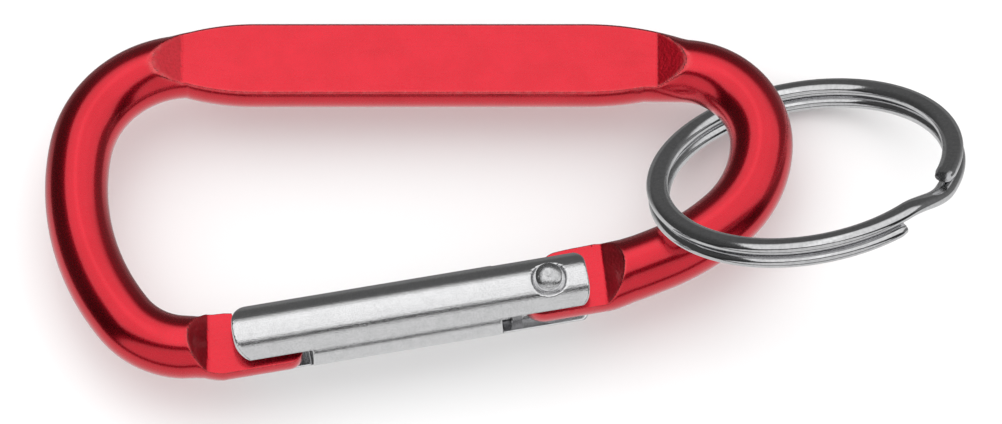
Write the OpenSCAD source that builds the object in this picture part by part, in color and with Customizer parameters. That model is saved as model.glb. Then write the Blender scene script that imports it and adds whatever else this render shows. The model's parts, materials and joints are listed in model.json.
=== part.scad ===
// Carabiner keyring: a bent rod body, a sprung gate on a rivet and a split ring.
// Millimetres, +Z up. The body lies flat; X runs along the spine towards the
// split ring, Y from the gate to the spine. Z 0 is the spine's upper flat.

/* [Rod] */

// diameter of the round rod the body is bent from
rod_d = 5; // [4:0.1:6]

// thickness of the spine where it is pressed flat
spine_t = 2.85; // [2.2:0.05:3.4]

// half length of the pressed flat, from the origin to each crease
spine_half = 18.8; // [14:0.1:22]

// how far each round side of the spine is pushed out by pressing
spine_spread = 0.88; // [0.5:0.02:1.4]

// length of the slope from the spine's flat up to the round rod
spine_ramp = 2.4; // [1:0.1:4]

/* [Left bend] */

// where the left bend starts, to the left of the origin
left_x = 18.13; // [14:0.1:22]

// bend radius next to the spine
left_r1 = 8.8; // [6:0.01:12]

// bend radius in the middle
left_r2 = 18.34; // [12:0.01:26]

// bend radius next to the nose
left_r3 = 6.26; // [4:0.01:9]

/* [Right bend] */

// where the right bend starts, to the right of the origin
right_x = 20.76; // [16:0.1:24]

// bend radius next to the spine
right_r1 = 6.33; // [5:0.01:9]

// bend radius in the middle
right_r2 = 8.9; // [7:0.01:12]

// bend radius next to the hinge
right_r3 = 18.27; // [12:0.01:24]

/* [Tangs] */

// thickness of the two flattened rod ends
tang_t = 1.4; // [1:0.05:1.8]

// length of the slope down to each flattened end
tang_ramp = 1.6; // [1:0.1:3]

// radius of the tongues' corners
tongue_r = 1.2; // [0.4:0.1:1.6]

/* [Gate] */

// outside diameter of the gate bar
gate_d = 5.5; // [4.5:0.1:6.5]

// bore for the spring
gate_bore_d = 3.8; // [3:0.1:4.6]

// hinge axis to the nose end of the gate
gate_nose = 25.3; // [20:0.1:30]

// hinge axis to the hinge end of the gate
gate_tail = 3.08; // [2.5:0.02:4]

// height of the slots that the tongues go into
slot_h = 2.9; // [2:0.05:3.2]

// length of the slot at the nose
nose_slot = 6; // [4:0.1:8]

// hinge axis to the closed end of the hinge slot
hinge_slot = 4.15; // [3:0.05:6]

// corner radius of the nose, in plan
nose_r = 2.3; // [1:0.1:2.7]

// corner radius of the hinge end, in plan
tail_r = 1.8; // [1:0.1:2.7]

// slope of the closed gate to the spine
gate_angle = 10.26; // [8:0.1:13]

// hinge axis, to the right of the origin
hinge_x = 10.25; // [8:0.05:12]

// hinge axis, below the spine's centreline
hinge_y = 19.47; // [18:0.02:22]

/* [Rivet] */

// diameter of the rivet's shank
rivet_d = 1.6; // [1.2:0.1:2]

// diameter of the rivet's heads
rivet_head_d = 2.1; // [1.8:0.05:2.6]

// diameter of the flat seat sunk in the gate round each head
rivet_seat_d = 2.74; // [2.3:0.02:3.2]

// how far each head stands above the gate's surface
rivet_rise = 0.85; // [0.4:0.05:1]

/* [Spring] */

// wire diameter of the spring
spring_wire = 0.4; // [0.3:0.02:0.5]

// number of turns
spring_turns = 9; // [5:1:14]

// length of the spring with the gate closed
spring_l = 8.2; // [5:0.1:11]

// length of the plunger's head
plunger_head = 0.9; // [0.6:0.1:1.5]

// length of the plunger's stem inside the spring
plunger_stem = 4; // [2:0.1:6]

/* [Split ring] */

// mean diameter of the ring's coils
ring_d = 23.6; // [20:0.1:28]

// width of the ring's wire across the coil
ring_w = 1.7; // [1.2:0.05:2.2]

// thickness of one coil
ring_t = 1.13; // [0.8:0.01:1.4]

// lean of the ring's plane from the body's plane
ring_tilt = 36; // [30:0.5:60]

// height of the ring's centre over the middle of the rod
ring_z = 2.7; // [1:0.1:5]

/* [Fits] */

// radial clearance between the rivet and the gate's holes
pivot_gap = 0.05; // [0.02:0.01:0.1]

// clearance between the nose tongue's edge and the gate's stop
tongue_gap = 0.15; // [0.05:0.01:0.3]

// radial clearance between the plunger and its bore
plunger_gap = 0.08; // [0.03:0.01:0.1]

// clearance between the plunger and the hinge tongue at rest
plunger_play = 0.06; // [0.03:0.01:0.15]

// clearance between the ring's two coils
coil_gap = 0.05; // [0.03:0.01:0.1]

/* [Hidden] */
$fn = 96;
rod_r = rod_d / 2;
gate_r = gate_d / 2;
bore_r = gate_bore_d / 2;
slack = 0.01;
seat = 0.06;
rod_z = -spine_t / 2;
left_y = 0.08;
right_y = 0.47;
rod_start = 4;
fade_from = [13, 13.2];
fade_r = [20, 24];
fade_l = [[6.3, 5.5], [8.1, 4.5]];
fade_thin = 0.03;
hinge_edge = 2.62;
left_a = [79.6, 48.2, 51.6];
right_a = [91.1, 45.5, 20.8];
nose_x = hinge_x - gate_nose * cos(gate_angle);
nose_run = nose_x + left_x + chain_x([left_r1, left_r2, left_r3], left_a) - 0.412;
nose_crease_x = nose_x - 1.975;
nose_crease_under_x = nose_x - 0.855;
hinge_run = right_x + chain_x([right_r1, right_r2, right_r3], right_a) - hinge_x - 3.924;
tang_edge = 2.75;
hinge_edge_low = -2.3;
hinge_shoulder = 3.18;
hinge_corner = 1.8;
tongue_end = -2.3;
hinge_crease = [hinge_x + 4.37, 1.23 - hinge_y];
hinge_crease_a = 6.5;
bore_end = -13.5;
nose_floor = 1.8;
seat_z = 2.32;
spring_d = gate_bore_d - 0.5;
ring_c = [30.55, -10.42];
ring_az = 105;
ring_end_b = 312;
jog_from = 331;
jog_to = 357;
ring_turn = 691;

// Everything sits on the rod's middle plane; the gate's own frame has its
// hinge axis at the origin and its nose towards -X.
module at_rod() translate([0, 0, rod_z]) children();
module at_gate() at_rod() translate([hinge_x, -hinge_y, 0]) rotate([0, 0, gate_angle]) children();

// How far three bends carry the rod along X.
function chain_x(r, a) =
    r[0] * sin(a[0]) + r[1] * (sin(a[0] + a[1]) - sin(a[0]))
    + r[2] * (sin(a[0] + a[1] + a[2]) - sin(a[0] + a[1]));

module rod(l) rotate([0, 90, 0]) cylinder(r = rod_r, h = l);

// A rod a hair thinner, so its ends seat inside its neighbours' ends.
module inner_rod(l) rotate([0, 90, 0]) cylinder(r = rod_r - slack, h = l);

// Rod bent by a degrees on radius r, starting at the origin along +X and
// turning to the left (side 1) or to the right (side -1). With thin above 0
// it is that much thinner and runs on a little into its neighbours.
module bend(r, a, side, thin = 0)
    let(d = thin > 0 ? seat / r * 180 / PI : 0)
        translate([0, side * r, 0])
            rotate([0, 0, side > 0 ? -90 - d : 90 - a - d])
                rotate_extrude(angle = a + 2 * d) translate([r, 0]) circle(r = rod_r - thin);

module after(r, a, side)
    translate([r * sin(a), side * r * (1 - cos(a)), 0]) rotate([0, 0, side * a]) children();

// A bend of three radii with a straight end.
module bent_rod(r, a, side, run) {
    bend(r[0], a[0], side);
    after(r[0], a[0], side) {
        bend(r[1], a[1], side, slack);
        after(r[1], a[1], side) {
            bend(r[2], a[2], side);
            after(r[2], a[2], side) translate([-seat, 0, 0]) inner_rod(run + seat);
        }
    }
}

module left_rod()
    translate([-left_x, -left_y, 0]) rotate([0, 0, 180]) {
        bent_rod([left_r1, left_r2, left_r3], left_a, 1, nose_run);
        translate([-rod_start, 0, 0]) inner_rod(rod_start + seat);
    }

module right_rod()
    translate([right_x, -right_y, 0]) {
        bent_rod([right_r1, right_r2, right_r3], right_a, -1, hinge_run);
        translate([-rod_start, 0, 0]) inner_rod(rod_start + seat);
    }

// One round side of the pressed spine, side 1 above or -1 below the
// centreline: straight in the middle, fading into the rod at both ends.
module spine_side(side)
    translate([0, side * spine_spread, 0]) {
        i = side > 0 ? 0 : 1;
        translate([-fade_from[0], 0, 0]) rod(fade_from[0] + fade_from[1]);
        translate([-fade_from[0], 0, 0]) rotate([0, 0, 180])
            bend(fade_r[0], asin(fade_l[0][i] / fade_r[0]), side, fade_thin);
        translate([fade_from[1], 0, 0])
            bend(fade_r[1], asin(fade_l[1][i] / fade_r[1]), -side, fade_thin);
    }

// What the press takes off the spine's upper side; mirrored for the under side.
module spine_cut()
    translate([0, 2 * rod_d, 0]) rotate([90, 0, 0])
        linear_extrude(height = 4 * rod_d)
            polygon([
                [-spine_half, spine_t / 2], [spine_half, spine_t / 2],
                [spine_half + spine_ramp, rod_r + slack], [spine_half + spine_ramp, rod_d],
                [-spine_half - spine_ramp, rod_d], [-spine_half - spine_ramp, rod_r + slack]
            ]);

// The same at a rod end: everything above the tang beyond a crease at X 0.
module end_cut(dir)
    translate([0, 2 * rod_d, 0]) rotate([90, 0, 0])
        linear_extrude(height = 4 * rod_d)
            polygon([
                [0, tang_t / 2], [dir * 4 * rod_d, tang_t / 2], [dir * 4 * rod_d, rod_d],
                [-dir * tang_ramp, rod_d], [-dir * tang_ramp, rod_r + slack]
            ]);

module plate(t = tang_t) translate([0, 0, -t / 2]) linear_extrude(height = t) children();

// Left rod end: a wide plate outside the gate, a narrower tongue inside it.
module nose_tang() {
    tip = -gate_nose + nose_slot - 0.7;
    top = nose_floor - tongue_gap;
    root = -gate_nose - 0.3;
    corner = [nose_r - gate_nose, gate_r - nose_r];
    plate() {
        polygon([
            [root - 2.2, -2.3], [root - 0.7, -tang_edge], [tip - tongue_r, -tang_edge],
            [tip - tongue_r, tongue_r - tang_edge], [tip, tongue_r - tang_edge],
            [tip, top - tongue_r], [tip - tongue_r, top - tongue_r], [tip - tongue_r, top],
            [root + 0.6, top],
            for (a = [144:-8:120]) corner + (nose_r + tongue_gap) * [cos(a), sin(a)],
            [root, 2.45], [root - 2.2, 2.75]
        ]);
        translate([tip - tongue_r, tongue_r - tang_edge]) circle(r = tongue_r);
        translate([tip - tongue_r, top - tongue_r]) circle(r = tongue_r);
    }
}

// Right rod end: a tongue drilled for the rivet, with a raised shoulder.
module hinge_tang()
    plate() difference() {
        union() {
            polygon([
                [tongue_end + hinge_corner, hinge_edge_low], [4.6, hinge_edge_low], [4.9, 2.4],
                [4.6, hinge_shoulder], [1.9, hinge_shoulder - 0.1], [0.9, hinge_shoulder - 0.18],
                [0.5, hinge_shoulder - 0.28], [0.1, hinge_edge],
                [tongue_end + tongue_r, hinge_edge], [tongue_end + tongue_r, hinge_edge - tongue_r],
                [tongue_end, hinge_edge - tongue_r], [tongue_end, hinge_edge_low + hinge_corner],
                [tongue_end + hinge_corner, hinge_edge_low + hinge_corner]
            ]);
            translate([tongue_end + tongue_r, hinge_edge - tongue_r]) circle(r = tongue_r);
            translate([tongue_end + hinge_corner, hinge_edge_low + hinge_corner])
                circle(r = hinge_corner);
        }
        circle(d = rivet_d);
    }

module body()
    color([0.78, 0.08, 0.16]) at_rod() {
        difference() {
            union() {
                left_rod();
                right_rod();
                spine_side(1);
                spine_side(-1);
            }
            spine_cut();
            mirror([0, 0, 1]) spine_cut();
            translate([nose_crease_x, -25, 0]) end_cut(1);
            translate([nose_crease_under_x, -25, 0]) mirror([0, 0, 1]) end_cut(1);
            translate(hinge_crease) rotate([0, 0, hinge_crease_a]) {
                end_cut(-1);
                mirror([0, 0, 1]) end_cut(-1);
            }
        }
        translate([hinge_x, -hinge_y, 0]) rotate([0, 0, gate_angle]) {
            nose_tang();
            hinge_tang();
        }
    }

// Plan outline of the gate bar.
module gate_plan() {
    translate([-gate_nose + nose_r, -gate_r - 1])
        square([gate_nose + gate_tail - nose_r - tail_r, gate_d + 2]);
    translate([-gate_nose, -gate_r + nose_r]) square([nose_r + slack, gate_d - 2 * nose_r]);
    translate([gate_tail - tail_r - slack, -gate_r + tail_r])
        square([tail_r + slack, gate_d - 2 * tail_r]);
    for (s = [-1, 1]) {
        translate([-gate_nose + nose_r, s * (gate_r - nose_r)]) circle(r = nose_r);
        translate([gate_tail - tail_r, s * (gate_r - tail_r)]) circle(r = tail_r);
    }
}

module gate()
    color([0.72, 0.72, 0.73]) at_gate() difference() {
        intersection() {
            translate([-gate_nose - 1, 0, 0]) rotate([0, 90, 0])
                cylinder(r = gate_r, h = gate_nose + gate_tail + 2);
            plate(gate_d + 1) gate_plan();
        }
        // spring bore with a flat end
        translate([bore_end, 0, 0]) rotate([0, 90, 0]) cylinder(r = bore_r, h = 30);
        // hinge slot, through both sides
        translate([-hinge_slot, -gate_d, -slot_h / 2]) cube([gate_d * 2, gate_d * 2, slot_h]);
        // nose slot, open to the outside and the end only
        translate([-gate_nose - 1, -gate_d, -slot_h / 2])
            cube([nose_slot + 1, gate_d + nose_floor, slot_h]);
        cylinder(r = rivet_d / 2 + pivot_gap, h = gate_d * 2, center = true);
        for (s = [0, 1]) mirror([0, 0, s])
            translate([0, 0, seat_z]) cylinder(d = rivet_seat_d, h = gate_r);
    }

// Two domed heads on one shank.
module rivet()
    color([0.75, 0.75, 0.77]) at_gate() {
        head_r = rivet_head_d / 2;
        dome_h = 0.35;
        dome_r = (pow(head_r, 2) + pow(dome_h, 2)) / (2 * dome_h);
        top = gate_r + rivet_rise;
        low = seat_z + pivot_gap;
        cylinder(d = rivet_d, h = 2 * low + slack, center = true);
        for (s = [0, 1]) mirror([0, 0, s]) {
            translate([0, 0, low]) cylinder(r = head_r, h = top - dome_h - low);
            intersection() {
                translate([0, 0, top - dome_r]) sphere(r = dome_r);
                translate([0, 0, top - dome_h - slack]) cylinder(r = head_r, h = 1);
            }
        }
    }

module plunger()
    color([0.6, 0.6, 0.62]) at_gate()
        translate([tongue_end - plunger_play, 0, 0]) rotate([0, -90, 0]) {
            cylinder(r = bore_r - plunger_gap, h = plunger_head);
            cylinder(r = spring_d / 2 - spring_wire - 0.3, h = plunger_head + plunger_stem);
        }

// Closed helix of round wire, from s to e along X.
function helix_pt(i, n, s, e, r, turns) =
    let(f = i / n, a = 360 * turns * f) [s + (e - s) * f, r * cos(a), r * sin(a)];

function unit(v) = v / norm(v);

// Side faces and two caps of a tube with n rings of m points.
function tube_faces(n, m) = concat(
    [for (i = [0:n - 2], j = [0:m - 1]) [i * m + j, i * m + (j + 1) % m, (i + 1) * m + j]],
    [for (i = [0:n - 2], j = [0:m - 1])
        [i * m + (j + 1) % m, (i + 1) * m + (j + 1) % m, (i + 1) * m + j]],
    [[for (j = [m - 1:-1:0]) j]],
    [[for (j = [0:m - 1]) (n - 1) * m + j]]
);

module spring()
    color([0.55, 0.55, 0.57]) at_gate() {
        start = tongue_end - plunger_play - plunger_head - spring_wire / 2 - 0.02;
        mid_r = (spring_d - spring_wire) / 2;
        n = spring_turns * 20;
        m = 8;
        ends = [start, start - spring_l + spring_wire];
        pts = [for (i = [0:n], j = [0:m - 1])
            let(c = helix_pt(i, n, ends[0], ends[1], mid_r, spring_turns),
                t = unit(helix_pt(i + 0.5, n, ends[0], ends[1], mid_r, spring_turns)
                    - helix_pt(i - 0.5, n, ends[0], ends[1], mid_r, spring_turns)),
                o = unit([0, c[1], c[2]]), b = cross(t, o), a = 360 * j / m)
            c + spring_wire / 2 * (cos(a) * o + sin(a) * b)];
        polyhedron(points = pts, faces = tube_faces(n + 1, m), convexity = 20);
    }

// Height of the wire over the ring's middle plane: one coil below, then a
// smooth jog, then one coil above.
function ease(f) = f <= 0 ? 0 : f >= 1 ? 1 : f * f * (3 - 2 * f);
function layer(a) =
    (ring_t + coil_gap) * (ease((a - jog_from) / (jog_to - jog_from)) - 0.5);

// One coil's section: oval, flattened where it meets the other coil.
function oval(a) = let(p = 0.75)
    [sign(cos(a)) * pow(abs(cos(a)), p) * ring_w / 2,
     sign(sin(a)) * pow(abs(sin(a)), p) * ring_t / 2];

module split_ring()
    color([0.82, 0.82, 0.84]) at_rod() {
        m = 16;
        turns = [for (a = [0:5:jog_from - 1]) a];
        jog = [for (a = [jog_from:3:jog_to]) a];
        rest = [for (a = [jog_to + 4:5:ring_turn]) a];
        at = concat(turns, jog, rest, [ring_turn]);
        pts = [for (a = at, j = [0:m - 1])
            let(o = oval(360 * j / m), q = ring_end_b - a)
            [(ring_d / 2 + o[0]) * cos(q), (ring_d / 2 + o[0]) * sin(q), layer(a) + o[1]]];
        translate([ring_c[0], ring_c[1], ring_z])
            rotate([0, 0, ring_az]) rotate([0, ring_tilt, 0]) rotate([0, 0, -ring_az])
                polyhedron(points = pts, faces = tube_faces(len(at), m), convexity = 10);
    }

body();
rivet();
gate();
plunger();
spring();
split_ring();
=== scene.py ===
import bpy
import json
import math
import numpy as np
from mathutils import Matrix, Vector


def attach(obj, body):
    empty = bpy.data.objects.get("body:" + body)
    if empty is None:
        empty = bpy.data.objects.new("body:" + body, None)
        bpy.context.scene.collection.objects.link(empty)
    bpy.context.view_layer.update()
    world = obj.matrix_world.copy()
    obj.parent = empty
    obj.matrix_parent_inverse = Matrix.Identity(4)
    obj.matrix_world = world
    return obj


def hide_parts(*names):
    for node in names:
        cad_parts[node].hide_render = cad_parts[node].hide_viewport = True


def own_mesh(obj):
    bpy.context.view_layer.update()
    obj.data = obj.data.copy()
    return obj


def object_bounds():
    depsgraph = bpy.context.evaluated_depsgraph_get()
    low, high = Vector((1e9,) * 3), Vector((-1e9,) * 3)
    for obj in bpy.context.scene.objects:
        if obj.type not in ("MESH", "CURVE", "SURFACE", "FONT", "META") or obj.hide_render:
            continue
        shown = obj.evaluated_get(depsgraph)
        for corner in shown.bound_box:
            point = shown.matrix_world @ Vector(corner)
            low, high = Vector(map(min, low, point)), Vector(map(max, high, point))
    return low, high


# The carabiner keyring: a bent and pressed red rod, a satin gate on a rivet with its
# spring and plunger, and a polished split ring. Lengths in the dictionaries are
# millimetres; what is built from them is in metres, in the frame's own place.
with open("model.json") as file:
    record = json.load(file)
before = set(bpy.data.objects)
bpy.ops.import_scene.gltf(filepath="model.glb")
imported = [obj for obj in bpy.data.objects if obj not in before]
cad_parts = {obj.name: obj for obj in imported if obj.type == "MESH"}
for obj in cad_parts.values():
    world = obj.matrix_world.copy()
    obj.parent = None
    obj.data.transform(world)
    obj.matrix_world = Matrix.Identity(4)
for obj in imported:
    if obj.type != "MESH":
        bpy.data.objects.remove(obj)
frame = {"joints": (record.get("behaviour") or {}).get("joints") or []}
cadLow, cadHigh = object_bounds()
mm = 0.001
joints = {j["name"]: j for j in frame["joints"]}
hingeAt = np.array(joints["gate_hinge"]["pos_m"]) / mm
ringAt = np.array(joints["ring_turn"]["pos_m"]) / mm
ringAxis = Vector(joints["ring_turn"]["axis"]).normalized()
gateAxis = -Vector(joints["plunger_slide"]["axis"]).normalized()  # from the nose to the hinge
gateTurn = math.atan2(gateAxis.y, gateAxis.x)
midZ = hingeAt[2]  # height of the rod's middle plane
scene = bpy.context.scene
print("frame loaded")

# Camera: a long lens from the front, high over the flat side.
camera = {
    "focus": (6.48, -12.65, -1.425),
    "elevation": 66.5,
    "distance": 1500,
    "width": 79.2,  # of what is seen at the focus
    "sensor": 36,
}


def makeCamera(c):
    data = bpy.data.cameras.new("camera")
    data.sensor_width = c["sensor"]
    data.lens = c["sensor"] * c["distance"] / c["width"]
    data.clip_start = 0.05
    data.clip_end = 20
    cam = bpy.data.objects.new("camera", data)
    scene.collection.objects.link(cam)
    e = math.radians(c["elevation"])
    back = Vector((0, -math.cos(e), math.sin(e)))
    cam.location = (Vector(c["focus"]) + back * c["distance"]) * mm
    cam.rotation_euler = (-back).to_track_quat("-Z", "Y").to_euler()
    scene.camera = cam


makeCamera(camera)


# Small helpers for node trees, shared by the shaders and the coil tree.
def newGroup(name, kind, inputs, outputs):
    tree = bpy.data.node_groups.new(name, kind)
    for label, socket, value in inputs:
        s = tree.interface.new_socket(label, in_out="INPUT", socket_type=socket)
        if value is not None:
            s.default_value = value
    for label, socket in outputs:
        tree.interface.new_socket(label, in_out="OUTPUT", socket_type=socket)
    return tree, tree.nodes.new("NodeGroupInput").outputs, tree.nodes.new("NodeGroupOutput").inputs


def feed(tree, socket, value):
    if isinstance(value, bpy.types.NodeSocket):
        tree.links.new(value, socket)
    elif value is not None:
        socket.default_value = value


def mathNode(tree, operation, *values):
    n = tree.nodes.new("ShaderNodeMath")
    n.operation = operation
    for i, v in enumerate(values):
        feed(tree, n.inputs[i], v)
    return n.outputs[0]


def rangeNode(tree, value, low, high, toLow=0.0, toHigh=1.0):
    n = tree.nodes.new("ShaderNodeMapRange")
    n.interpolation_type = "SMOOTHSTEP"
    for i, v in enumerate((value, low, high, toLow, toHigh)):
        feed(tree, n.inputs[i], v)
    return n.outputs[0]


def mixColour(tree, share, a, b):
    n = tree.nodes.new("ShaderNodeMix")
    n.data_type = "RGBA"
    feed(tree, n.inputs[0], share)
    feed(tree, n.inputs[6], a)
    feed(tree, n.inputs[7], b)
    return n.outputs[2]


def noiseNode(tree, vector, scale, detail=2.0, rough=0.5):
    n = tree.nodes.new("ShaderNodeTexNoise")
    feed(tree, n.inputs["Vector"], vector)
    feed(tree, n.inputs["Scale"], scale)
    feed(tree, n.inputs["Detail"], detail)
    feed(tree, n.inputs["Roughness"], rough)
    return n.outputs[0]


def stretched(tree, vector, scale):
    n = tree.nodes.new("ShaderNodeMapping")
    feed(tree, n.inputs["Vector"], vector)
    feed(tree, n.inputs["Scale"], scale)
    return n.outputs[0]


# Fine even grain, as tumbling or etching leaves: a height and a blotchy mask.
def makeGrainGroup():
    tree, given, out = newGroup(
        "surfaceGrain", "ShaderNodeTree",
        [("Place", "NodeSocketVector", None), ("Grain Size", "NodeSocketFloat", 0.1),
         ("Blotch Size", "NodeSocketFloat", 2.0)],
        [("Height", "NodeSocketFloat"), ("Speckle", "NodeSocketFloat"), ("Blotch", "NodeSocketFloat")])
    fine = mathNode(tree, "DIVIDE", 1 / mm, given["Grain Size"])
    broad = mathNode(tree, "DIVIDE", 1 / mm, given["Blotch Size"])
    small = noiseNode(tree, given["Place"], fine, 3.0, 0.6)
    patch = noiseNode(tree, given["Place"], broad, 3.0, 0.55)
    feed(tree, out["Height"], small)
    feed(tree, out["Speckle"], rangeNode(tree, small, 0.42, 0.62))
    feed(tree, out["Blotch"], rangeNode(tree, patch, 0.35, 0.65))
    return tree


# Long fine lines along a drawn or rolled piece; they follow the piece's own UV map,
# whose first axis runs along it.
def makeDrawGroup():
    tree, given, out = newGroup(
        "drawLines", "ShaderNodeTree",
        [("Along", "NodeSocketVector", None), ("Line Width", "NodeSocketFloat", 0.08),
         ("Line Length", "NodeSocketFloat", 6.0)],
        [("Height", "NodeSocketFloat"), ("Lines", "NodeSocketFloat")])
    across = mathNode(tree, "DIVIDE", 1 / mm, given["Line Width"])
    along = mathNode(tree, "DIVIDE", 1 / mm, given["Line Length"])
    join = tree.nodes.new("ShaderNodeCombineXYZ")
    feed(tree, join.inputs[0], along)
    feed(tree, join.inputs[1], across)
    feed(tree, join.inputs[2], across)
    lines = noiseNode(tree, stretched(tree, given["Along"], join.outputs[0]), 1.0, 2.0, 0.6)
    feed(tree, out["Height"], lines)
    feed(tree, out["Lines"], rangeNode(tree, lines, 0.55, 0.75))
    return tree


# Edges, partly worn and partly a painted highlight: the piece's edge value broken up by noise.
def makeWearAndHighlightGroup():
    tree, given, out = newGroup(
        "edgeWearAndHighlight", "ShaderNodeTree",
        [("Place", "NodeSocketVector", None), ("Edge", "NodeSocketFloat", 0.0),
         ("Amount", "NodeSocketFloat", 0.5), ("Chip Size", "NodeSocketFloat", 0.4)],
        [("WearAndHighlight", "NodeSocketFloat")])
    scale = mathNode(tree, "DIVIDE", 1 / mm, given["Chip Size"])
    chips = rangeNode(tree, noiseNode(tree, given["Place"], scale, 4.0, 0.65), 0.35, 0.7)
    part = mathNode(tree, "MULTIPLY", given["Edge"], mathNode(tree, "ADD", chips, 0.35))
    feed(tree, out["WearAndHighlight"], mathNode(tree, "MULTIPLY", part, given["Amount"]))
    return tree


grainGroup = makeGrainGroup()
drawGroup = makeDrawGroup()
wearAndHighlightGroup = makeWearAndHighlightGroup()


def useGroup(tree, group, **values):
    n = tree.nodes.new("ShaderNodeGroup")
    n.node_tree = group
    for label, v in values.items():
        feed(tree, n.inputs[label.replace("_", " ")], v)
    return n.outputs


def newMaterial(name):
    m = bpy.data.materials.new(name)
    m.use_nodes = True
    tree = m.node_tree
    shader = tree.nodes["Principled BSDF"]
    place = tree.nodes.new("ShaderNodeTexCoord").outputs["Object"]
    return m, tree, shader, place


def attribute(tree, name):
    n = tree.nodes.new("ShaderNodeAttribute")
    n.attribute_name = name
    return n.outputs["Fac"]


def bump(tree, shader, height, depth):
    n = tree.nodes.new("ShaderNodeBump")
    n.inputs["Distance"].default_value = depth * mm
    n.inputs["Strength"].default_value = 1.0
    feed(tree, n.inputs["Height"], height)
    feed(tree, shader.inputs["Normal"], n.outputs[0])


def rgb(r, g, b):
    return (r, g, b, 1.0)


def weighted(tree, *pairs):
    total = None
    for value, share in pairs:
        part = mathNode(tree, "MULTIPLY", value, share)
        total = part if total is None else mathNode(tree, "ADD", total, part)
    return total


redFinish = {
    "red": rgb(0.90, 0.014, 0.038),
    "deep": rgb(0.70, 0.004, 0.016),
    "wearAndHighlight": rgb(0.95, 0.16, 0.17),
    "roughness": (0.20, 0.30), "pressedRoughness": 0.08,  # the second is added on pressed slopes
    "coat": 0.9, "coatRoughness": 0.12,
    "grainSize": 0.16, "pressedGrainSize": 0.20,
    "bumpDepth": 0.007, "pressedDents": 7.0, "pressedSpots": 0.4,
}


# Red anodised rod: a clear dyed skin over drawn metal, dented where it was pressed.
def makeRedAnodised(f):
    m, tree, shader, place = newMaterial("redAnodised")
    uv = tree.nodes.new("ShaderNodeUVMap").outputs[0]
    grain = useGroup(tree, grainGroup, Place=place, Grain_Size=f["grainSize"], Blotch_Size=3.0)
    lines = useGroup(tree, drawGroup, Along=uv, Line_Width=0.12, Line_Length=9.0)
    coarse = useGroup(tree, grainGroup, Place=place, Grain_Size=f["pressedGrainSize"], Blotch_Size=0.8)
    pressed = attribute(tree, "pressed")
    wearAndHighlight = useGroup(tree, wearAndHighlightGroup, Place=place, Edge=attribute(tree, "edge"), Amount=0.55)
    colour = mixColour(tree, weighted(tree, (grain["Blotch"], 0.25), (lines["Lines"], 0.12)),
                       f["red"], f["deep"])
    spots = mathNode(tree, "MULTIPLY", mathNode(tree, "MULTIPLY", pressed, coarse["Speckle"]),
                     f["pressedSpots"])
    colour = mixColour(tree, spots, colour, f["deep"])
    # Paler edges: partly wear, partly a painted highlight along the pressed creases.
    colour = mixColour(tree, wearAndHighlight["WearAndHighlight"], colour, f["wearAndHighlight"])
    feed(tree, shader.inputs["Base Color"], colour)
    shader.inputs["Metallic"].default_value = 1.0
    rough = rangeNode(tree, weighted(tree, (grain["Height"], 0.6), (lines["Height"], 0.4)),
                      0.3, 0.7, *f["roughness"])
    rough = mathNode(tree, "ADD", rough, mathNode(tree, "MULTIPLY", pressed, f["pressedRoughness"]))
    feed(tree, shader.inputs["Roughness"], rough)
    shader.inputs["Coat Weight"].default_value = f["coat"]
    shader.inputs["Coat Roughness"].default_value = f["coatRoughness"]
    height = weighted(tree, (grain["Height"], 0.30), (lines["Height"], 0.25))
    dents = mathNode(tree, "MULTIPLY", pressed, coarse["Height"])
    dents = mathNode(tree, "MULTIPLY", dents, f["pressedDents"])
    bump(tree, shader, mathNode(tree, "ADD", height, dents), f["bumpDepth"])
    return m


# Bare metal with fine grain, drawn lines and brighter edges, partly wear and partly a painted highlight.
def makeSatinMetal(name, light, dark, rough, grainSize, depth, lineShare=0.3):
    m, tree, shader, place = newMaterial(name)
    uv = tree.nodes.new("ShaderNodeUVMap").outputs[0]
    grain = useGroup(tree, grainGroup, Place=place, Grain_Size=grainSize, Blotch_Size=grainSize * 9)
    lines = useGroup(tree, drawGroup, Along=uv, Line_Width=0.10, Line_Length=5.0)
    wearAndHighlight = useGroup(tree, wearAndHighlightGroup, Place=place, Edge=attribute(tree, "edge"), Amount=0.8)
    marks = weighted(tree, (grain["Speckle"], 0.45), (grain["Blotch"], 0.25), (lines["Lines"], lineShare))
    colour = mixColour(tree, marks, light, dark)
    # Brighter edges: partly wear, partly a painted highlight.
    colour = mixColour(tree, wearAndHighlight["WearAndHighlight"], colour, rgb(0.95, 0.95, 0.96))
    feed(tree, shader.inputs["Base Color"], colour)
    shader.inputs["Metallic"].default_value = 1.0
    spread = weighted(tree, (grain["Height"], 0.7), (lines["Height"], 0.3))
    feed(tree, shader.inputs["Roughness"], rangeNode(tree, spread, 0.3, 0.7, *rough))
    bump(tree, shader, weighted(tree, (grain["Height"], 0.8), (lines["Height"], lineShare)), depth)
    return m


redAnodised = makeRedAnodised(redFinish)
tumbledAluminium = makeSatinMetal("tumbledAluminium", rgb(0.90, 0.90, 0.91), rgb(0.74, 0.74, 0.75),
                                  (0.08, 0.15), 0.10, 0.013)
polishedNickel = makeSatinMetal("polishedNickel", rgb(0.80, 0.80, 0.81), rgb(0.66, 0.66, 0.67),
                                (0.06, 0.13), 0.30, 0.004, 0.5)
rivetSteel = makeSatinMetal("rivetSteel", rgb(0.80, 0.80, 0.81), rgb(0.55, 0.55, 0.56),
                            (0.16, 0.30), 0.20, 0.02)
# The plunger's steel is darkened as painted shade, so the gate's slot round it reads dark.
slotShadeSteel = makeSatinMetal("slotShadeSteel", rgb(0.30, 0.30, 0.31), rgb(0.20, 0.20, 0.21),
                             (0.22, 0.34), 0.12, 0.01)
springSteel = makeSatinMetal("springSteel", rgb(0.58, 0.58, 0.60), rgb(0.36, 0.36, 0.38),
                             (0.18, 0.32), 0.12, 0.008)
print("materials made")


# Meshes: plain arrays in millimetres become finished objects in metres.
def readPoints(mesh, key="co"):
    out = np.empty(len(mesh.vertices) * 3)
    mesh.vertices.foreach_get(key, out)
    return out.reshape(-1, 3)


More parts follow.
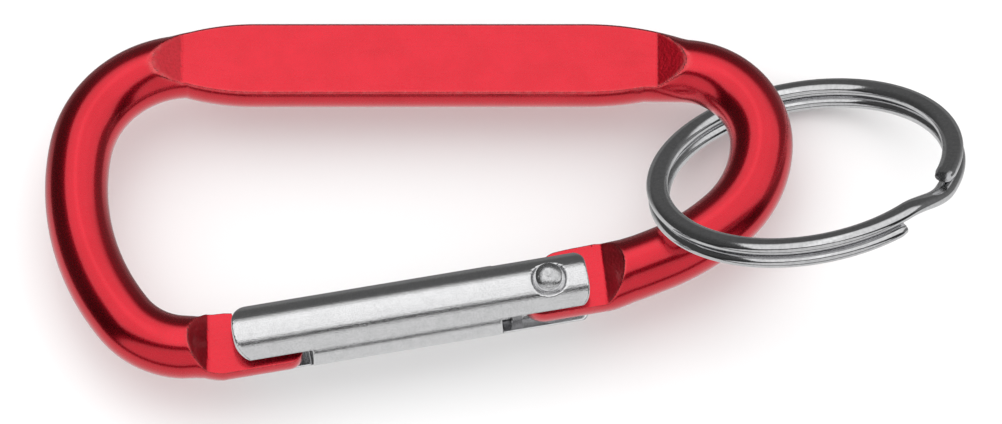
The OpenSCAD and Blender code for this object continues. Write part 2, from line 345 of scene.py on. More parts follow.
# One UV map, from a value in metres per point.
def setAlong(mesh, uv):
    while mesh.uv_layers:
        mesh.uv_layers.remove(mesh.uv_layers[0])
    layer = mesh.uv_layers.new(name="along")
    corners = np.empty(len(mesh.loops), int)
    mesh.loops.foreach_get("vertex_index", corners)
    layer.data.foreach_set("uv", uv[corners].ravel())


def newPiece(name, points, faces, material, uv=None, **values):
    mesh = bpy.data.meshes.new(name)
    mesh.from_pydata((np.asarray(points) * mm).tolist(), [], faces)
    mesh.polygons.foreach_set("use_smooth", [True] * len(mesh.polygons))
    if uv is not None:
        setAlong(mesh, np.asarray(uv) * mm)
    for key, v in values.items():
        a = mesh.attributes.new(key, "FLOAT", "POINT")
        a.data.foreach_set("value", np.asarray(v, float))
    mesh.update()
    return newObject(name, mesh, material)


def newObject(name, mesh, material=None):
    obj = bpy.data.objects.new(name, mesh)
    scene.collection.objects.link(obj)
    if material is not None:
        mesh.materials.clear()
        mesh.materials.append(material)
    return obj


# How sharply the surface turns outwards at each point, from 0 to 1.
def outwardEdges(mesh, gain):
    co, normal = readPoints(mesh), readPoints(mesh, "normal")
    pair = np.empty(len(mesh.edges) * 2, int)
    mesh.edges.foreach_get("vertices", pair)
    a, b = pair.reshape(-1, 2).T
    step = co[b] - co[a]
    length = np.maximum(np.linalg.norm(step, axis=1), 1e-9)
    turn = ((normal[b] - normal[a]) * step).sum(1) / length**2 * mm
    total = np.zeros(len(co))
    near = np.zeros(len(co))
    for end in (a, b):
        np.add.at(total, end, turn)
        np.add.at(near, end, 1)
    return np.clip(total / np.maximum(near, 1) * gain, 0, 1)


def storeEdges(mesh, gain=0.35, floor=0.0):
    value = np.clip(outwardEdges(mesh, gain) - floor, 0, 1)
    if "edge" in mesh.attributes:
        mesh.attributes.remove(mesh.attributes["edge"])
    mesh.attributes.new("edge", "FLOAT", "POINT").data.foreach_set("value", value)


def lowerOf(a, b, k):
    h = np.clip(0.5 + 0.5 * (b - a) / k, 0, 1)
    return b * (1 - h) + a * h - k * h * (1 - h)


def higherOf(a, b, k):
    return -lowerOf(-a, -b, k)


# The body is one rod, bent to a loop, pressed flat along the spine and at both ends.
bodyShape = {
    "radius": 2.5,
    "leftStart": (-18.13, -0.08), "leftBends": ((8.8, 79.6), (18.34, 48.2), (6.26, 51.6)),
    "rightStart": (20.76, -0.47), "rightBends": ((6.33, 91.1), (8.9, 45.5), (18.27, 20.8)),
    "flatHalf": 1.425, "flatEnds": (-18.8, 18.8), "flatRamp": 2.4,
    "spineReach": -4.5, "sideReach": -3.0,  # below these the bends are plain round rod
    "sideOut": 0.88, "fadeRun": 8.4, "sideFade": ((-13.0, 20.0), (13.2, 24.0)),
    "tangHalf": 0.7, "tangRamp": 1.6,
    "noseCrease": (-16.62, -15.5),  # upper and under side
    "hingeCrease": (14.62, -18.24), "hingeCreaseTurn": 6.5,
    "noseJoin": -26.4, "hingeJoin": 4.0,  # where each end starts to follow the gate's axis
    "noseTip": -20.0, "hingeTip": -2.3, "tipCorner": 1.2, "outerCorner": {"left": 1.2, "right": 1.8},
    "hingeStraight": 2.4,
    # half widths of the two flattened ends along the gate's axis: places, then widths
    "noseLower": ((-29.2, -28.2, -27.6, -26.5), (2.5, 2.42, 2.45, 2.8)),
    "noseUpper": ((-29.2, -28.0, -27.4, -25.6, -25.0, -24.9), (2.5, 2.44, 2.62, 2.52, 2.4, 1.67)),
    "hingeLower": ((-2.3, 4.2, 5.4, 6.8), (2.34, 2.34, 2.42, 2.5)),
    "hingeUpper": ((-0.2, 0.1, 0.5, 0.9, 1.9, 4.5, 5.0, 5.7, 6.6, 7.8),
                   (2.66, 2.68, 2.92, 3.04, 3.12, 3.2, 3.14, 2.88, 2.6, 2.5)),
    "soft": 0.13,  # rounding along pressed edges
    # The paler line along the pressed edges is partly wear and partly a painted highlight.
    "wearAndHighlightBand": 0.14,  # width of the paler line along them
    "around": 144,
}


def gateFrame(x, y):
    c, s = math.cos(gateTurn), math.sin(gateTurn)
    dx, dy = x - hingeAt[0], y - hingeAt[1]
    return dx * c + dy * s, dy * c - dx * s


def gatePoint(x, y=0.0):
    c, s = math.cos(gateTurn), math.sin(gateTurn)
    return np.array([hingeAt[0] + x * c - y * s, hingeAt[1] + x * s + y * c])


# Points and headings along a chain of bends, starting at p.
def bendChain(p, heading, bends, side, step=0.42, fine=0.11, fineRun=4.0):
    stations = []
    p = np.array(p, float)
    run = 0
    for radius, angle in bends:
        left = np.array([-math.sin(heading), math.cos(heading)]) * side
        centre = p + left * radius
        total = math.radians(angle)
        turned = 0
        while turned < total - 0.2 * step / radius:
            h = heading + side * turned
            spoke = np.array([-math.sin(h), math.cos(h)]) * side
            stations.append((centre - spoke * radius, h))
            size = fine if run < fineRun else step
            run += size
            turned += size / radius
        heading += side * total
        p = centre - np.array([-math.sin(heading), math.cos(heading)]) * side * radius
    return stations[1:], p, heading


# A smooth run from one point and heading to another.
def easeRun(p, h, q, k, step):
    d = np.linalg.norm(q - p)
    a = np.array([math.cos(h), math.sin(h)]) * d
    b = np.array([math.cos(k), math.sin(k)]) * d
    out = []
    for t in np.arange(0, 1, step / d):
        at = ((2 * t**3 - 3 * t**2 + 1) * p + (t**3 - 2 * t**2 + t) * a
              + (3 * t**2 - 2 * t**3) * q + (t**3 - t**2) * b)
        way = ((6 * t**2 - 6 * t) * p + (3 * t**2 - 4 * t + 1) * a
               + (6 * t - 6 * t**2) * q + (3 * t**2 - 2 * t) * b)
        out.append((at, math.atan2(way[1], way[0])))
    return out


def bodyStations(s):
    flat0, flat1 = s["flatEnds"]
    ramp = s["flatRamp"]
    marks = [(s["leftStart"][0], flat0 + 1, 0.12), (flat0 + 1, s["sideFade"][0][0], 0.4),
             (s["sideFade"][0][0], s["sideFade"][1][0], 1.0), (s["sideFade"][1][0], flat1 - 1, 0.4),
             (flat1 - 1, s["rightStart"][0], 0.12)]
    spine = [s["rightStart"][0]]
    for a, b, step in reversed(marks):
        spine = list(np.linspace(a, b, max(1, round((b - a) / step)), endpoint=False)) + spine
    ends = list(zip(s["leftStart"], s["rightStart"]))
    middle = [(np.array([x, np.interp(x, *ends)]), 0.0, "spine") for x in spine]

    left, p, h = bendChain(s["leftStart"], math.pi, s["leftBends"], 1)
    join = gatePoint(s["noseJoin"])
    nose = easeRun(p, h, join, 2 * math.pi + gateTurn, 0.12)
    tip = s["noseTip"]
    plain = np.arange(s["noseJoin"], tip - s["tipCorner"] - 0.1, 0.1)
    corner = tip - s["tipCorner"] * (1 - np.sin(np.linspace(0, math.pi / 2, 14)))
    nose += [(gatePoint(x), gateTurn) for x in np.concatenate([plain, corner])]
    leftPart = [(q, a + math.pi, "left") for q, a in reversed(nose)]
    leftPart += [(q, a + math.pi, "spineLeft") for q, a in reversed(left)]

    right, p, h = bendChain(s["rightStart"], 0.0, s["rightBends"], -1)
    q = p + np.array([math.cos(h), math.sin(h)]) * s["hingeStraight"]
    hinge = [(p + (q - p) * t, h) for t in np.linspace(0, 1, 12, endpoint=False)]
    join = gatePoint(s["hingeJoin"])
    hinge += easeRun(q, h, join, gateTurn - math.pi, 0.11)
    tip = s["hingeTip"]
    reach = s["outerCorner"]["right"]
    plain = np.arange(s["hingeJoin"], tip + reach + 0.1, -0.1)
    corner = tip + reach * (1 - np.sin(np.linspace(0, math.pi / 2, 20)))
    hinge += [(gatePoint(x), gateTurn - math.pi) for x in np.concatenate([plain, corner])]
    rightPart = [(q, a, "spineRight") for q, a in right] + [(q, a, "right") for q, a in hinge]
    return leftPart + middle + rightPart


# Half widths of the rod outwards and inwards, and how far each round side is pushed out.
def bodyWidths(s, x, y, zone):
    r = s["radius"]
    if zone.startswith("spine"):
        if y < s["sideReach"]:
            return r, r, 0, 0
        out, inside = s["sideOut"] - y, s["sideOut"] + y
        for side, (start, bend) in zip((-1, 1), s["sideFade"]):
            d = (x - start) * side
            if d > s["fadeRun"]:
                out = inside = 0
            elif d > 0:
                drop = bend - math.sqrt(max(bend**2 - d**2, 0))
                out, inside = out - drop, inside - drop
        return r, r, max(out, 0), max(inside, 0)
    gx, gy = gateFrame(x, y)
    if zone == "left":
        lower, upper = np.interp(gx, *s["noseLower"]), np.interp(gx, *s["noseUpper"])
        rest = s["noseTip"] - gx
    else:
        lower, upper = np.interp(gx, *s["hingeLower"]), np.interp(gx, *s["hingeUpper"])
        rest = gx - s["hingeTip"]
    trimmed = []
    for width, c in ((lower, s["outerCorner"][zone]), (upper, s["tipCorner"])):
        cut = c - math.sqrt(max(c**2 - max(c - rest, 0)**2, 0))
        trimmed.append(width - cut)
    return trimmed[0], trimmed[1], 0, 0


def bodyCeiling(s, x, y, zone, top):
    big = 2 * s["radius"]
    rise = (s["radius"] - s["flatHalf"]) / s["flatRamp"]
    tangRise = (s["radius"] - s["tangHalf"]) / s["tangRamp"]
    if zone.startswith("spine"):
        past = np.maximum(higherOf(s["flatEnds"][0] - x, x - s["flatEnds"][1], 0.01), 0)
        high = s["flatHalf"] + past * rise
        return np.where(y < s["spineReach"], big, high)
    if zone == "left":
        crease = s["noseCrease"][0 if top else 1]
        past = higherOf(crease - x, np.zeros_like(x), 0.08)
    else:
        a = math.radians(s["hingeCreaseTurn"])
        u = (x - s["hingeCrease"][0]) * math.cos(a) + (y - s["hingeCrease"][1]) * math.sin(a)
        past = higherOf(u, np.zeros_like(u), 0.08)
    return s["tangHalf"] + past * tangRise


def makeBody(s):
    stations = bodyStations(s)
    n = s["around"]
    angle = np.arange(n) * 2 * math.pi / n
    cosine, sine = np.cos(angle), np.sin(angle)
    points, uvs, pressed, edge = [], [], [], []
    run, last = 0.0, stations[0][0]
    for at, heading, zone in stations:
        run += np.linalg.norm(at - last)
        last = at
        normal = np.array([-math.sin(heading), math.cos(heading)])
        outR, inR, outBy, inBy = bodyWidths(s, at[0], at[1], zone)
        offset = np.where(cosine >= 0, outBy + outR * cosine, -inBy + inR * cosine)
        x, y = at[0] + offset * normal[0], at[1] + offset * normal[1]
        z = s["radius"] * sine
        ceiling = bodyCeiling(s, x, y, zone, True)
        ground = -bodyCeiling(s, x, y, zone, False)
        cut = higherOf(lowerOf(z, ceiling, s["soft"]), ground, s["soft"])
        points.append(np.c_[x, y, cut + midZ])
        uvs.append(np.c_[np.full(n, run), angle * s["radius"]])
        flat = s["flatHalf"] if zone.startswith("spine") else s["tangHalf"]
        sloped = (np.abs(cut) > flat + 0.02) & (np.abs(z) > np.abs(cut) + 0.05)
        pressed.append(sloped * 1.0)
        # A band along each crease: the paler line, partly wear and partly a painted highlight.
        edge.append(np.exp(-((np.abs(z) - np.abs(np.where(z > 0, ceiling, ground)))
                              / s["wearAndHighlightBand"]) ** 2))
    faces = []
    for i in range(len(stations) - 1):
        a, b = i * n, (i + 1) * n
        for j in range(n):
            k = (j + 1) % n
            faces.append((a + j, b + j, b + k, a + k))
    points = np.vstack(points)
    total = len(points)
    caps = []
    for start, sign in ((0, 1), (total - n, -1)):
        centre = points[start:start + n].mean(0)
        caps.append(centre)
        mid = total + len(caps) - 1
        for j in range(n):
            k = (j + 1) % n
            faces.append((start + j, start + k, mid) if sign > 0 else (start + k, start + j, mid))
    points = np.vstack([points, caps])
    uvs = np.vstack(uvs + [np.zeros((2, 2))])
    pressed = np.concatenate(pressed + [np.zeros(2)])
    edge = np.concatenate(edge + [np.zeros(2)])
    return newPiece("red_body", points, faces, redAnodised, uvs, pressed=pressed, edge=edge)


body = makeBody(bodyShape)
print("body swept:", len(body.data.polygons), "faces")


# Solids for cutting the gate, in the gate's own frame: hinge axis at the origin.
def lathe(profile, count, axis="Z"):
    points, faces = [], []
    for r, h in profile:
        for i in range(count):
            a = 2 * math.pi * i / count
            points.append((r * math.cos(a), r * math.sin(a), h))
    rows = len(profile)
    for i in range(rows - 1):
        for j in range(count):
            k = (j + 1) % count
            faces.append((i * count + j, i * count + k, (i + 1) * count + k, (i + 1) * count + j))
    faces.append(tuple(range(count - 1, -1, -1)))
    faces.append(tuple((rows - 1) * count + j for j in range(count)))
    points = np.array(points)
    if axis == "X":
        points = points[:, [2, 0, 1]]
    return points, faces


def plank(lowCorner, highCorner):
    x0, y0, z0 = lowCorner
    x1, y1, z1 = highCorner
    points = [(x, y, z) for x in (x0, x1) for y in (y0, y1) for z in (z0, z1)]
    faces = [(0, 1, 3, 2), (4, 6, 7, 5), (0, 4, 5, 1), (2, 3, 7, 6), (0, 2, 6, 4), (1, 5, 7, 3)]
    return np.array(points), faces


def extruded(outline, low, high):
    n = len(outline)
    points = [(x, y, low) for x, y in outline] + [(x, y, high) for x, y in outline]
    faces = [tuple(range(n - 1, -1, -1)), tuple(range(n, 2 * n))]
    faces += [(i, (i + 1) % n, n + (i + 1) % n, n + i) for i in range(n)]
    return np.array(points), faces


def toWorld(points):
    c, s = math.cos(gateTurn), math.sin(gateTurn)
    p = np.asarray(points, float)
    return np.c_[p[:, 0] * c - p[:, 1] * s, p[:, 0] * s + p[:, 1] * c, p[:, 2]] + hingeAt


def applied(obj, name, material):
    bpy.context.view_layer.update()
    graph = bpy.context.evaluated_depsgraph_get()
    mesh = bpy.data.meshes.new_from_object(obj.evaluated_get(graph))
    mesh.name = name
    old = obj.data
    bpy.data.objects.remove(obj)
    bpy.data.meshes.remove(old)
    return newObject(name, mesh, material)


gateShape = {
    "radius": 2.75, "nose": -25.3, "tail": 3.08, "noseCorner": 2.3, "tailCorner": 1.8,
    "bore": 1.9, "boreEnd": -13.5, "slot": 2.9, "noseSlot": 6.0, "noseFloor": 1.8,
    "hingeSlot": 4.15, "hole": 0.85, "seat": 1.37, "seatZ": 2.32,
    "voxel": 0.1, "smooth": 3,
}


def gatePlan(s):
    nose, tail = (s["nose"], 1, s["noseCorner"]), (s["tail"], -1, s["tailCorner"])
    outline = []
    r = s["radius"]
    for (end, way, c), flip in ((tail, -1), (tail, 1), (nose, 1), (nose, -1)):
        cx, cy = end + way * c, flip * (r - c)
        start = {(-1, -1): -90, (-1, 1): 0, (1, 1): 90, (1, -1): 180}[(way, flip)]
        for i in range(17):
            a = math.radians(start + 90 * i / 16)
            outline.append((cx + c * math.cos(a), cy + c * math.sin(a)))
    return outline


def makeGate(s):
    r = s["radius"]
    bar = newPiece("gateBar", *lathe([(r, s["nose"] - 0.5), (r, s["tail"] + 0.5)], 160, "X"), None)
    tools = [("INTERSECT", extruded(gatePlan(s), -r - 1, r + 1)),
             ("DIFFERENCE", lathe([(s["bore"], s["boreEnd"]), (s["bore"], 10)], 96, "X")),
             ("DIFFERENCE", plank((-s["hingeSlot"], -5, -s["slot"] / 2), (9, 5, s["slot"] / 2))),
             ("DIFFERENCE", plank((s["nose"] - 1, -5, -s["slot"] / 2),
                                  (s["nose"] + s["noseSlot"], s["noseFloor"], s["slot"] / 2))),
             ("DIFFERENCE", lathe([(s["hole"], -4), (s["hole"], 4)], 64))]
    for side in (-1, 1):
        heights = sorted((side * s["seatZ"], side * 4))
        tools.append(("DIFFERENCE", lathe([(s["seat"], h) for h in heights], 64)))
    cutters = []
    for i, (operation, solid) in enumerate(tools):
        cutter = newPiece("cutter%d" % i, *solid, None)
        cutters.append(cutter)
        m = bar.modifiers.new("cut%d" % i, "BOOLEAN")
        m.operation = operation
        m.object = cutter
        m.solver = "EXACT"
    m = bar.modifiers.new("remesh", "REMESH")
    m.mode = "VOXEL"
    m.voxel_size = s["voxel"] * mm
    m.use_smooth_shade = True
    m = bar.modifiers.new("soften", "SMOOTH")
    m.factor = 0.5
    m.iterations = s["smooth"]
    gate = applied(bar, "gate_bar", tumbledAluminium)
    for c in cutters:
        old = c.data
        bpy.data.objects.remove(c)
        bpy.data.meshes.remove(old)
    mesh = gate.data
    co = readPoints(mesh) / mm
    setAlong(mesh, np.c_[co[:, 0], np.arctan2(co[:, 2], co[:, 1]) * r] * mm)
    mesh.vertices.foreach_set("co", (toWorld(co) * mm).ravel())
    mesh.update()
    storeEdges(mesh, 0.5, 0.25)
    return gate


gate = makeGate(gateShape)
print("gate cut:", len(gate.data.polygons), "faces")


rivetShape = {"shank": 0.8, "head": 1.05, "seat": 2.37, "top": 3.6, "dome": 0.35, "dimple": 0.12}
plungerShape = {"front": -2.36, "head": 1.82, "headLength": 0.9, "stem": 0.95, "length": 4.9}


def roundedProfile(corners, radius, steps=5):
    out = [corners[0]]
    for a, b, c in zip(corners, corners[1:], corners[2:]):
        a, b, c = map(np.array, (a, b, c))
        u, v = (a - b) / np.linalg.norm(a - b), (c - b) / np.linalg.norm(c - b)
        for i in range(steps + 1):
            t = i / steps
            p, q = b + u * radius, b + v * radius
            out.append(tuple((1 - t)**2 * p + 2 * t * (1 - t) * b + t**2 * q))
    return out + [corners[-1]]


def makeRivet(s):
    head = roundedProfile([(s["shank"], s["seat"]), (s["head"], s["seat"]),
                           (s["head"], s["top"] - s["dome"])], 0.06)
    dome = []
    for i in range(1, 17):
        r = s["head"] * (1 - i / 16.5)
        t = r / s["head"]
        h = s["top"] - s["dome"] * t**2.2 - s["dimple"] * max(0, 1 - (t / 0.45)**2)**2
        dome.append((max(r, 0.02), h))
    upper = head + dome
    lower = [(r, -h) for r, h in reversed(upper)]
    points, faces = lathe(lower + upper, 64)
    uv = np.c_[points[:, 2], np.arctan2(points[:, 1], points[:, 0]) * s["head"]]
    rivet = newPiece("gate_rivet", toWorld(points), faces, rivetSteel, uv)
    storeEdges(rivet.data, 0.3, 0.3)
    return rivet


def makePlunger(s):
    f = s["front"]
    profile = roundedProfile([(0.05, f), (s["head"], f), (s["head"], f - s["headLength"]),
                              (s["stem"], f - s["headLength"]), (s["stem"], f - s["length"]),
                              (0.05, f - s["length"])], 0.12)
    points, faces = lathe([(r, h) for r, h in reversed(profile)], 64, "X")
    uv = np.c_[points[:, 0], np.arctan2(points[:, 2], points[:, 1]) * s["head"]]
    # The plunger takes the steel darkened as painted shade for the slot.
    plunger = newPiece("gate_plunger", toWorld(points), faces, slotShadeSteel, uv)
    storeEdges(plunger.data, 0.3, 0.3)
    return plunger


rivet = makeRivet(rivetShape)
plunger = makePlunger(plungerShape)
print("rivet and plunger turned")


# Coils by rule: a point's place follows from its index, so one tree makes both the
# spring and the split ring. The coil's axis is Z; the wire's section is an oval.
def makeCoilTree(material, name):
    inputs = [("Points", "NodeSocketInt", 200), ("Radius", "NodeSocketFloat", 1.0),
              ("Start", "NodeSocketFloat", 0.0), ("Turn", "NodeSocketFloat", 360.0),
              ("Rise", "NodeSocketFloat", 0.0), ("Jog", "NodeSocketFloat", 0.0),
              ("Jog From", "NodeSocketFloat", 0.0), ("Jog To", "NodeSocketFloat", 1.0),
              ("Wire Width", "NodeSocketFloat", 0.1), ("Wire Height", "NodeSocketFloat", 0.1),
              ("Section Power", "NodeSocketFloat", 1.0), ("End Taper", "NodeSocketFloat", 0.1),
              ("Section Points", "NodeSocketInt", 24)]
    tree, given, out = newGroup(name, "GeometryNodeTree", inputs, [("Geometry", "NodeSocketGeometry")])

    def node(kind):
        return tree.nodes.new("GeometryNode" + kind)

    index = node("InputIndex").outputs[0]
    whole = mathNode(tree, "SUBTRACT", given["Points"], 1.0)
    turned = mathNode(tree, "DIVIDE", mathNode(tree, "MULTIPLY", given["Turn"], index), whole)
    angle = mathNode(tree, "RADIANS", mathNode(tree, "ADD", given["Start"], turned))
    part = mathNode(tree, "DIVIDE", index, whole)
    jog = rangeNode(tree, mathNode(tree, "ABSOLUTE", turned), given["Jog From"], given["Jog To"], -0.5, 0.5)
    height = mathNode(tree, "ADD", mathNode(tree, "MULTIPLY", given["Rise"], part),
                      mathNode(tree, "MULTIPLY", given["Jog"], jog))
    at = tree.nodes.new("ShaderNodeCombineXYZ")
    feed(tree, at.inputs[0], mathNode(tree, "MULTIPLY", given["Radius"], mathNode(tree, "COSINE", angle)))
    feed(tree, at.inputs[1], mathNode(tree, "MULTIPLY", given["Radius"], mathNode(tree, "SINE", angle)))
    feed(tree, at.inputs[2], height)

    line = node("MeshLine")
    feed(tree, line.inputs["Count"], given["Points"])
    curve = node("MeshToCurve")
    feed(tree, curve.inputs["Mesh"], line.outputs[0])
    move = node("SetPosition")
    feed(tree, move.inputs["Geometry"], curve.outputs[0])
    feed(tree, move.inputs["Position"], at.outputs[0])
    upright = node("SetCurveNormal")
    upright.mode = "Z_UP"
    feed(tree, upright.inputs[0], move.outputs[0])
    ends = mathNode(tree, "MINIMUM", index, mathNode(tree, "SUBTRACT", whole, index))
    closing = mathNode(tree, "MULTIPLY", given["End Taper"],
                       rangeNode(tree, ends, 0.0, 2.0, 1.0, 0.0))
    size = node("SetCurveRadius")
    feed(tree, size.inputs["Curve"], upright.outputs[0])
    feed(tree, size.inputs["Radius"], mathNode(tree, "SUBTRACT", 1.0, closing))

    ring = node("CurvePrimitiveCircle")
    feed(tree, ring.inputs["Resolution"], given["Section Points"])
    ring.inputs["Radius"].default_value = 1.0
    split = tree.nodes.new("ShaderNodeSeparateXYZ")
    feed(tree, split.inputs[0], node("InputPosition").outputs[0])
    oval = tree.nodes.new("ShaderNodeCombineXYZ")
    for i, label in enumerate(("Wire Width", "Wire Height")):
        side = mathNode(tree, "SIGN", split.outputs[i])
        reach = mathNode(tree, "ABSOLUTE", split.outputs[i])
        bulge = mathNode(tree, "POWER", reach, given["Section Power"])
        half = mathNode(tree, "MULTIPLY", given[label], 0.5)
        bulge = mathNode(tree, "MULTIPLY", side, bulge)
        feed(tree, oval.inputs[i], mathNode(tree, "MULTIPLY", bulge, half))
    section = node("SetPosition")
    feed(tree, section.inputs["Geometry"], ring.outputs[0])
    feed(tree, section.inputs["Position"], oval.outputs[0])

    tube = node("CurveToMesh")
    feed(tree, tube.inputs["Curve"], size.outputs[0])
    feed(tree, tube.inputs["Profile Curve"], section.outputs[0])
    tube.inputs["Fill Caps"].default_value = True
    feed(tree, tube.inputs["Scale"], node("InputRadius").outputs[0])
    smooth = node("SetShadeSmooth")
    feed(tree, smooth.inputs[0], tube.outputs[0])
    real = node("RealizeInstances")
    feed(tree, real.inputs[0], smooth.outputs[0])
    paint = node("SetMaterial")
    feed(tree, paint.inputs["Geometry"], real.outputs[0])
    paint.inputs["Material"].default_value = material
    feed(tree, out[0], paint.outputs[0])
    return tree


def makeCoil(name, material, values, place, lengthWise):
    base = bpy.data.meshes.new(name + "Base")
    obj = bpy.data.objects.new(name + "Base", base)
    scene.collection.objects.link(obj)
    tree = makeCoilTree(material, name + "Tree")
    m = obj.modifiers.new("coil", "NODES")
    m.node_group = tree
    for item in tree.interface.items_tree:
        if item.in_out == "INPUT":
            m[item.identifier] = values[item.name]
    coil = applied(obj, name, material)
    mesh = coil.data
    around = values["Section Points"]
    number = np.arange(len(mesh.vertices))
    setAlong(mesh, np.c_[number // around * lengthWise / values["Points"],
                         number % around * values["Wire Width"] * math.pi / around])
    mesh.transform(place)
    mesh.update()
    storeEdges(mesh, 0.3, 0.35)
    return coil


ringShape = {
    "diameter": 23.6, "width": 1.7, "thickness": 1.13, "gap": 0.05,
    "firstEnd": 312, "turn": 691, "jog": (331, 357), "points": 520, "azimuth": 105,
}
springShape = {"wire": 0.4, "outside": 3.3, "turns": 9, "start": -3.48, "length": 7.8}


def makeRing(s):
    tilt = math.acos(ringAxis.z)
    turn = Matrix.Rotation(math.radians(s["azimuth"]), 4, "Z")
    place = (Matrix.Translation(Vector(ringAt) * mm) @ turn @ Matrix.Rotation(tilt, 4, "Y")
             @ turn.inverted())
    values = {"Points": s["points"], "Radius": s["diameter"] / 2 * mm, "Start": float(s["firstEnd"]),
              "Turn": float(-s["turn"]), "Rise": 0.0, "Jog": (s["thickness"] + s["gap"]) * mm,
              "Jog From": float(s["jog"][0]), "Jog To": float(s["jog"][1]),
              "Wire Width": s["width"] * mm, "Wire Height": s["thickness"] * mm,
              "Section Power": 0.94, "End Taper": 0.16, "Section Points": 40}
    length = math.radians(s["turn"]) * s["diameter"] / 2 * mm
    return makeCoil("split_ring_wire", polishedNickel, values, place, length)


def makeSpring(s):
    along = Matrix.Rotation(math.radians(-90), 4, "Y")
    place = (Matrix.Translation(Vector(hingeAt) * mm) @ Matrix.Rotation(gateTurn, 4, "Z")
             @ Matrix.Translation(Vector((s["start"], 0, 0)) * mm) @ along)
    values = {"Points": s["turns"] * 36 + 1, "Radius": (s["outside"] - s["wire"]) / 2 * mm, "Start": 0.0,
              "Turn": 360.0 * s["turns"], "Rise": s["length"] * mm, "Jog": 0.0,
              "Jog From": 0.0, "Jog To": 1.0, "Wire Width": s["wire"] * mm,
              "Wire Height": s["wire"] * mm, "Section Power": 1.0, "End Taper": 0.1,
              "Section Points": 16}
    length = math.pi * s["outside"] * s["turns"] * mm
    return makeCoil("gate_spring", springSteel, values, place, length)


ring = makeRing(ringShape)
spring = makeSpring(springShape)
print("coils wound:", len(ring.data.polygons) + len(spring.data.polygons), "faces")


# What each piece stands for, the body it rides on and the finish it takes.
for piece, node, rides, finish in (
        (body, "body", "frame", "red_rod"), (rivet, "rivet", "frame", "rivet_steel"),
        (gate, "gate", "gate", "gate_metal"), (plunger, "plunger", "plunger", "plunger_steel"),
        (spring, "spring", "gate", "spring_steel"), (ring, "split_ring", "ring", "ring_nickel")):
    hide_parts(node)
    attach(piece, rides)

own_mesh(spring)


# Floor, light and the room round them. The two lamps light the floor. The metal sees a
# painted room instead: a bright softbox overhead, a dark back, a front card below a narrow
# gap, and a pale table below. Box sizes are slopes, sideways or forwards over upwards.
studio = {
    "floor": 4.0, "floorColour": rgb(0.92, 0.92, 0.92),
    "softbox": {"at": (-0.11, 0.30, 0.60), "size": (0.96, 0.98), "power": 2.4},
    "core": {"at": (-0.07, 0.22, 0.66), "size": (0.05, 0.5), "power": 0.1},
    "roomSeen": 1.0, "roomFill": 1.32,
    "boxAcross": (-0.90, 2.4), "boxNear": -0.42, "boxFar": (0.9, 1.9), "boxEdge": 0.06, "box": 1.06,
    "wing": (0.68, 0.80), "wingLevel": 0.98,
    "coreAcross": (-0.18, 0.03), "coreGain": 0.25,
    "back": 0.12, "left": 0.07, "right": 0.20, "front": 0.80, "under": 0.80,
    "gap": (-0.60, -0.54), "gapLevel": 0.04, "horizon": (-0.28, -0.10), "horizonEdge": 0.04,
}


def makeFloor(s):
    h = s["floor"] / 2
    z = cadLow.z - 0.02 * mm
    mesh = bpy.data.meshes.new("floor")
    mesh.from_pydata([(-h, -h, z), (h, -h, z), (h, h, z), (-h, h, z)], [], [(0, 1, 2, 3)])
    m, tree, shader, place = newMaterial("paleFloor")
    feed(tree, shader.inputs["Base Color"],
         mixColour(tree, noiseNode(tree, place, 30.0, 2.0), s["floorColour"], rgb(0.90, 0.90, 0.90)))
    shader.inputs["Roughness"].default_value = 0.9
    shader.inputs["Specular IOR Level"].default_value = 0.1
    floor = newObject("floor", mesh, m)
    floor.visible_glossy = False


def makeLight(name, at, size, power):
    data = bpy.data.lights.new(name, "AREA")
    data.shape = "RECTANGLE"
    data.size, data.size_y = size
    data.energy = power
    light = bpy.data.objects.new(name, data)
    scene.collection.objects.link(light)
    light.location = at
    light.rotation_euler = (-Vector(at)).to_track_quat("-Z", "Y").to_euler()
    light.visible_glossy = False
    return light


def mixLevel(tree, share, a, b):
    n = tree.nodes.new("ShaderNodeMix")
    feed(tree, n.inputs[0], share)
    feed(tree, n.inputs[2], a)
    feed(tree, n.inputs[3], b)
    return n.outputs[0]


# One inside the range and nought outside, with soft ends.
def bandNode(tree, value, low, high, soft):
    return mathNode(tree, "MULTIPLY", rangeNode(tree, value, low - soft / 2, low + soft / 2),
                    rangeNode(tree, value, high - soft / 2, high + soft / 2, 1.0, 0.0))


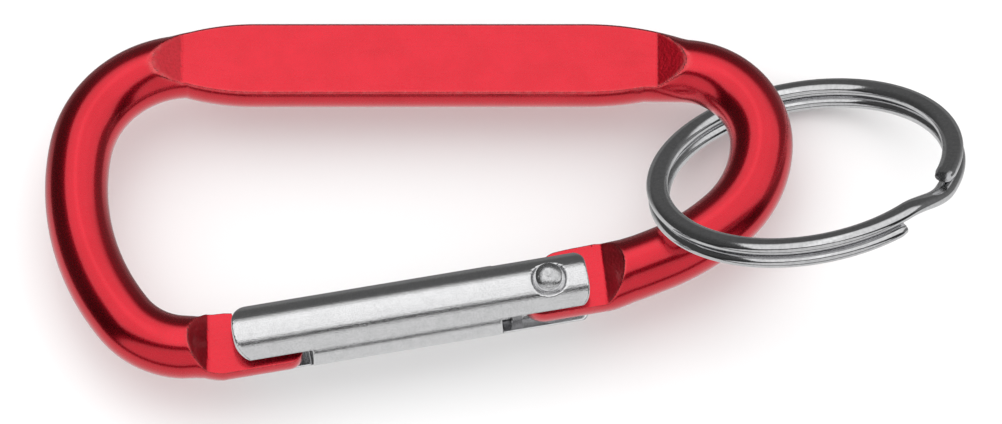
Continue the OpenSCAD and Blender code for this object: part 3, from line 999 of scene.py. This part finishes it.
def reflectedRoom(tree, s):
    way = tree.nodes.new("ShaderNodeSeparateXYZ")
    feed(tree, way.inputs[0], tree.nodes.new("ShaderNodeTexCoord").outputs["Generated"])
    x, y, z = way.outputs
    level = mixLevel(tree, rangeNode(tree, x, 0.3, 0.9), s["back"], s["right"])
    level = mixLevel(tree, rangeNode(tree, x, -0.9, -0.3, 1.0, 0.0), level, s["left"])
    level = mixLevel(tree, rangeNode(tree, y, -0.3, -0.1, 1.0, 0.0), level, s["gapLevel"])
    soft = s["horizonEdge"]
    card = mathNode(tree, "MULTIPLY", rangeNode(tree, y, *s["gap"], 1.0, 0.0),
                    rangeNode(tree, z, s["horizon"][1] - soft, s["horizon"][1] + soft))
    level = mixLevel(tree, card, level, s["front"])
    below = rangeNode(tree, z, s["horizon"][0] - soft, s["horizon"][0] + soft, 1.0, 0.0)
    table = mathNode(tree, "MULTIPLY", below, rangeNode(tree, y, 0.2, 0.7, 1.0, 0.15))
    level = mixLevel(tree, table, level, s["under"])
    height = mathNode(tree, "MAXIMUM", z, 0.01)
    across, along = mathNode(tree, "DIVIDE", x, height), mathNode(tree, "DIVIDE", y, height)
    near = rangeNode(tree, along, s["boxNear"], s["boxNear"] + s["boxEdge"])
    depth = mathNode(tree, "MULTIPLY", near, rangeNode(tree, along, *s["boxFar"], 1.0, 0.0))
    box = mathNode(tree, "MULTIPLY", bandNode(tree, across, *s["boxAcross"], s["boxEdge"]), depth)
    core = mathNode(tree, "MULTIPLY", bandNode(tree, across, *s["coreAcross"], s["boxEdge"]), s["coreGain"])
    lit = mixLevel(tree, rangeNode(tree, across, *s["wing"]), s["box"], s["wingLevel"])
    return mixLevel(tree, box, level, mathNode(tree, "ADD", core, lit))


def makeRoom(s):
    world = bpy.data.worlds.new("studioRoom")
    world.use_nodes = True
    world.cycles.sampling_method = "NONE"
    scene.world = world
    tree = world.node_tree
    tree.nodes.clear()
    out = tree.nodes.new("ShaderNodeOutputWorld")
    path = tree.nodes.new("ShaderNodeLightPath")
    level = mixLevel(tree, path.outputs["Is Glossy Ray"], s["roomFill"], reflectedRoom(tree, s))
    level = mixLevel(tree, path.outputs["Is Camera Ray"], level, s["roomSeen"])
    shade = tree.nodes.new("ShaderNodeBackground")
    feed(tree, shade.inputs["Strength"], level)
    feed(tree, out.inputs[0], shade.outputs[0])


makeFloor(studio)
body.visible_glossy = False  # bare metal mirrors the room, not the red rod
for part in ("softbox", "core"):
    makeLight(part, **studio[part])
makeRoom(studio)
scene.view_settings.view_transform = "Standard"
print("studio set")
